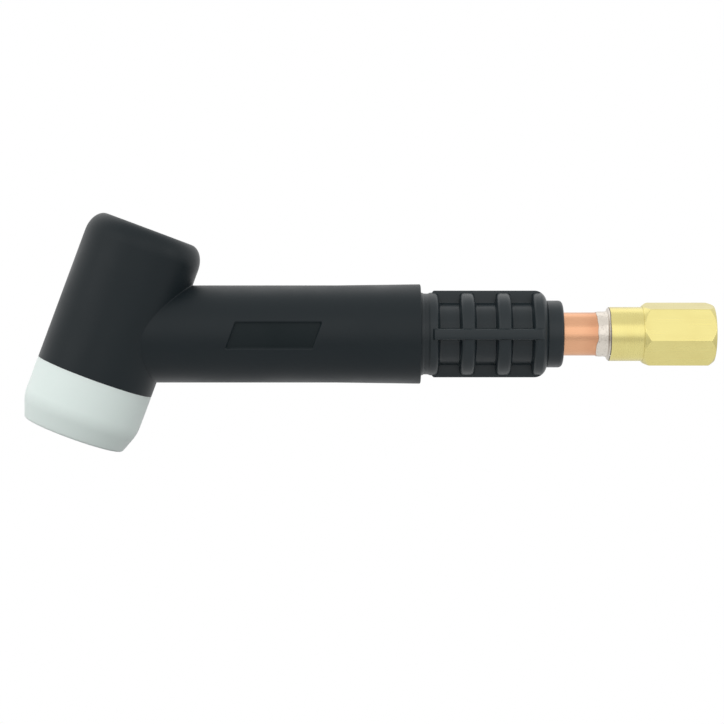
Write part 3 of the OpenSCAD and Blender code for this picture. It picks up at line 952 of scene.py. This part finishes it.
def tubes():
    """The copper tube from the fitting to the head: a rear length, one bend at each bending centre and a stub."""
    rear = tube_part("Supply_tube", SOCKET_END - TUBE_EDGE, CENTRES[0] + BEND_HALF, body="rear")
    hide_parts("supply_tube")
    for k, centre in enumerate(CENTRES):
        piece = tube_part(f"Tube_bend_{k + 1}", centre + BEND_HALF, centre - BEND_HALF)
        bend(piece)
        if k < LINKS:
            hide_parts(f"tube_link_{k + 1}")
    front = HEAD_X + STUB_END / math.cos(LEAN)
    stub = tube_part("Tube_stub", CENTRES[-1] - BEND_HALF, front + TUBE_EDGE, body="head")
    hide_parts("neck_stub_tube")


tubes()


# ---- Head ----


def head_jacket():
    """Jacket over the head: its side, opened where the neck's fillet runs in, its rounded rear edge and its seats."""
    skin = Skin()
    low, high = JACKET_FRONT + EDGE_ROUND, HEAD_REAR - REAR_DOWN
    corner = JUNCTION_CORNER
    turn = np.degrees(AROUND)
    side = np.where(turn > 90, 180 - turn, turn)
    sign = np.where(turn > 90, -1, 1)
    phi_edge = sign * JUNCTION_PHI * np.interp(side, [-90, -corner, corner, 90], [0, 1, 1, 0])
    height_edge = np.interp(side, [-corner, corner], [low, high])
    phi_hole, height_hole = junction(NECK_R, NECK_FILLET, HEAD_R)[3:]
    share = np.linspace(0, 1, 10)[:, None] ** 1.3
    phi = phi_hole + (phi_edge - phi_hole) * share
    skin.grid(*head_at(phi, height_hole + (height_edge - height_hole) * share))

    heights = np.unique(np.round(height_edge[np.abs(side) <= corner + 1e-6], 6))
    rest = np.linspace(JUNCTION_PHI, TAU - JUNCTION_PHI, 37)
    skin.grid(*head_at(*np.meshgrid(rest, heights, indexing="ij")), round_columns=False)

    front_edge = rounded(
        [
            [JACKET_FRONT + 1, HEAD_R, 0],
            [JACKET_FRONT, HEAD_R, EDGE_ROUND],
            [JACKET_FRONT, HEAD_R - 1, 0],
        ]
    )
    seats = rounded(
        [
            [JACKET_FRONT, HEAD_R - 2, 0],
            [JACKET_FRONT, SEAT_R, 0.1],
            [SEAT_END, SEAT_R, 0.1],
            [SEAT_END, CORE_R + FIT, 0.1],
            [CORE_RIM_FRONT + FIT, CORE_R + FIT, 0.1],
            [CORE_RIM_FRONT + FIT, MOUTH_R, 0.1],
            [HEAD_REAR, MOUTH_R, 0.5],
            [HEAD_REAR, HEAD_R - REAR_IN - 1, 0],
        ],
        per_step=12,
    )
    turn_in = np.linspace(math.pi / 2, 0, 15)
    rear = np.stack([high + REAR_DOWN * np.sin(turn_in), HEAD_R - REAR_IN * (1 - np.cos(turn_in))], axis=-1)
    facing = np.stack([np.sin(turn_in) / REAR_DOWN, np.cos(turn_in) / REAR_IN], axis=-1)
    facing /= np.linalg.norm(facing, axis=1)[:, None]
    columns = np.concatenate([np.unique(np.round(phi_edge[side >= corner - 1e-6], 6)), rest[1:-1]])
    skin.grid(*turned(joined(front_edge, seats, (rear, facing)), HEAD, columns))
    piece = skin.build("Head_jacket", (silicone,), "head")
    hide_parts("head_jacket")


def nose_insulator():
    """White nose: spigot, seat for the core, straight side, curve, taper and front face."""
    straight_end = JACKET_FRONT - NOSE_STRAIGHT
    turn = np.linspace(0, NOSE_TAPER, 9)
    curve = np.stack([straight_end - NOSE_CURVE_R * np.sin(turn), HEAD_R - NOSE_CURVE_R * (1 - np.cos(turn))], axis=-1)
    facing = np.stack([-np.sin(turn), np.cos(turn)], axis=-1)
    end, end_r = curve[-1]
    taper = math.tan(NOSE_TAPER)
    rest = rounded(
        [
            [end + 0.1, end_r + 0.1 * taper, 0],
            [NOSE_FRONT, end_r - (end - NOSE_FRONT) * taper, 0.7],
            [NOSE_FRONT, NOSE_BORE_R, 0.35],
            [CORE_FRONT, NOSE_BORE_R, 0.1],
            [CORE_FRONT, CORE_R + FIT, 0.1],
            [SEAT_END - FIT, CORE_R + FIT, 0.15],
            [SEAT_END - FIT, SEAT_R - FIT, 0.3],
            [JACKET_FRONT, SEAT_R - FIT, 0.1],
            [JACKET_FRONT, HEAD_R + 0.02, EDGE_ROUND],
            [straight_end, HEAD_R, 0],
        ],
        per_step=12,
    )
    skin = Skin().grid(*turned(joined((curve, facing), rest), HEAD, angles(128)), round_rows=True)
    piece = skin.build("Nose_insulator", (ptfe,), "head")
    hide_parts("nose_insulator")


def head_core():
    """Brass core: threads for the back cap and the collet body, and the bore between them."""
    around = angles(120)
    collet = thread(CORE_FRONT + 0.65, BORE_FRONT - 0.3, COLLET_THREAD, HEAD, around)
    bore = rounded(
        [
            [BORE_FRONT - 0.9, COLLET_END_R, 0],
            [BORE_FRONT, COLLET_END_R, 0.1],
            [BORE_FRONT, BORE_R, 0.05],
            [BORE_REAR, BORE_R, 0.3],
            [BORE_REAR, CAP_END_R, 0.1],
            [BORE_REAR + 0.8, CAP_END_R, 0],
        ]
    )
    cap = thread(BORE_REAR + 0.3, CORE_REAR - 0.65, CAP_THREAD, HEAD, around)
    outside = rounded(
        [
            [CORE_REAR - 1.4, CAP_THREAD[0], 0],
            [CORE_REAR - 0.6, CAP_THREAD[0], 0.05],
            [CORE_REAR, CAP_MOUTH_R, 0.06],
            [CORE_REAR, CORE_RIM_R, 0.3],
            [CORE_RIM_FRONT, CORE_RIM_R, 0.1],
            [CORE_RIM_FRONT, CORE_R, 0.2],
            [CORE_FRONT, CORE_R, 0.2],
            [CORE_FRONT, COLLET_MOUTH_R, 0.06],
            [CORE_FRONT + 0.6, COLLET_THREAD[0], 0.05],
            [CORE_FRONT + 2, COLLET_THREAD[0], 0],
        ]
    )
    points, normals = joined(collet, turned(bore, HEAD, around), cap, turned(outside, HEAD, around))
    piece = Skin().grid(points, normals, round_rows=True).build("Head_core", (core_brass,), "head")
    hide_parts("head_core")


head_jacket()
nose_insulator()
head_core()

inner_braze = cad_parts["head_braze"]
inner_braze.data.materials.clear()
inner_braze.data.materials.append(braze)


# ---- Floor, light and camera, with places in metres ----

WHITE = (1, 1, 1, 1)
# How bright the surround is below and above the torch, for the light that it gives and as gloss shows it
LIGHT_LOW, LIGHT_HIGH = 0.3, 1.25
GLOSS_LOW, GLOSS_HIGH = 0.62, 0.95
# The floor: its height, half its width, how far out it starts and ends to fade, its colour as it is seen and its
# colour in the light that it throws back
FLOOR_LEVEL = -0.19
FLOOR_HALF = 0.9
FADE_START, FADE_END = 0.2, 0.45
FLOOR_SEEN = "#E0E1E2"
FLOOR_LIT = "#464748"
# Soft lamps: name, place, aim, size and power in watts
LAMPS = (
    ("Top_softbox", (-0.10, 0.30, 0.46), (-0.08, 0, 0), (0.8, 0.35), 0.35),
    ("Left_softbox", (-0.55, -0.40, 0.25), (-0.10, 0, 0), (0.5, 0.4), 0.45),
    ("Front_softbox", (0.08, -0.74, 0.20), (-0.06, 0, 0), (0.8, 0.7), 0.7),
    ("Right_softbox", (0.55, -0.32, 0.12), (-0.06, 0, 0), (0.25, 0.3), 0.3),
)
# The camera: how far off it stands, how wide a piece its lens takes in there, where it is and where it looks
CAMERA_OFF = 0.45
CAMERA_WIDTH = 0.1602
CAMERA_AT = (-0.0776, -CAMERA_OFF, 0.004)
CAMERA_AIM = (-0.0776, 0, -0.0062)


def looked_at(tree):
    """1 for what is seen straight, in gloss or through glass, and 0 for what only lights the torch."""
    path = add(tree, "LightPath").outputs
    ray = path["Is Camera Ray"]
    for kind in ("Is Glossy Ray", "Is Transmission Ray"):
        ray = add(tree, "Math", {"operation": "MAXIMUM"}, i0=ray, i1=path[kind])
    return ray


def pale_floor():
    """A plain pale floor that fades out around the torch and doesn't show from below."""
    half, level = FLOOR_HALF, FLOOR_LEVEL
    corners = [(-half, -half, level), (half, -half, level), (half, half, level), (-half, half, level)]
    mesh = bpy.data.meshes.new("Floor")
    mesh.from_pydata(corners, [], [(0, 1, 2, 3)])
    floor = put("Floor", mesh)
    made, tree, shader = surface("floor_pale_paper", FLOOR_SEEN, 0.9)
    at = add(tree, "TexCoord").outputs["Object"]
    flat = add(tree, "VectorMath", {"operation": "MULTIPLY"}, i0=at, i1=(1, 1, 0))
    away = add(tree, "VectorMath", {"operation": "LENGTH"}, i0=flat)
    smoothly = {"interpolation_type": "SMOOTHSTEP"}
    fade = add(tree, "MapRange", smoothly, Value=away, From_Min=FADE_START, From_Max=FADE_END, To_Min=0, To_Max=1)
    under = add(tree, "NewGeometry").outputs["Backfacing"]
    gone = add(tree, "Math", {"operation": "MAXIMUM"}, i0=fade, i1=under)
    seen = looked_at(tree)
    colour = add(tree, "Mix", {"data_type": "RGBA"}, Factor=seen, i6=srgb(FLOOR_LIT), i7=srgb(FLOOR_SEEN))
    add(tree, shader, Base_Color=colour)
    both = add(tree, "MixShader", i0=gone, i1=shader, i2=add(tree, "BsdfTransparent"))
    add(tree, tree.nodes["Material Output"], Surface=both)
    mesh.materials.append(made)


def surround():
    """A white surround, whose light and gloss come from above more than from below."""
    world = bpy.data.worlds.new("Studio")
    bpy.context.scene.world = world
    world.use_nodes = True
    tree = world.node_tree
    up = add(tree, "SeparateXYZ", Vector=add(tree, "TexCoord").outputs["Generated"]).outputs["Z"]
    level = add(tree, "MapRange", Value=up, From_Min=-1, From_Max=1, To_Min=LIGHT_LOW, To_Max=LIGHT_HIGH)
    light = add(tree, tree.nodes["Background"], Color=WHITE, Strength=level)
    gloss = add(tree, "MapRange", Value=up, From_Min=-0.5, From_Max=0.2, To_Min=GLOSS_LOW, To_Max=GLOSS_HIGH)
    straight = add(tree, "LightPath").outputs["Is Camera Ray"]
    shown = add(tree, "Math", {"operation": "MAXIMUM"}, i0=gloss, i1=straight)
    seen = add(tree, "Background", Color=WHITE, Strength=shown)
    both = add(tree, "MixShader", i0=looked_at(tree), i1=light, i2=seen)
    add(tree, tree.nodes["World Output"], Surface=both)


def aim_at(made, at, aim):
    """Puts a lamp or a camera in its place and turns it to where it looks."""
    made.location = at
    made.rotation_euler = (Vector(aim) - Vector(at)).to_track_quat("-Z", "Y").to_euler()


def lamps():
    """Soft area lights round the torch."""
    for name, at, aim, size, power in LAMPS:
        light = bpy.data.lights.new(name, "AREA")
        light.shape = "RECTANGLE"
        light.size, light.size_y = size
        light.energy = power
        aim_at(put(name, light), at, aim)


def camera():
    """A camera level with the torch, about an arm's length away, with a lens that takes in its whole length."""
    data = bpy.data.cameras.new("Camera")
    data.lens = data.sensor_width * CAMERA_OFF / CAMERA_WIDTH
    eye = put("Camera", data)
    aim_at(eye, CAMERA_AT, CAMERA_AIM)
    bpy.context.scene.camera = eye


pale_floor()
surround()
lamps()
camera()
bpy.context.scene.view_settings.view_transform = "Standard"
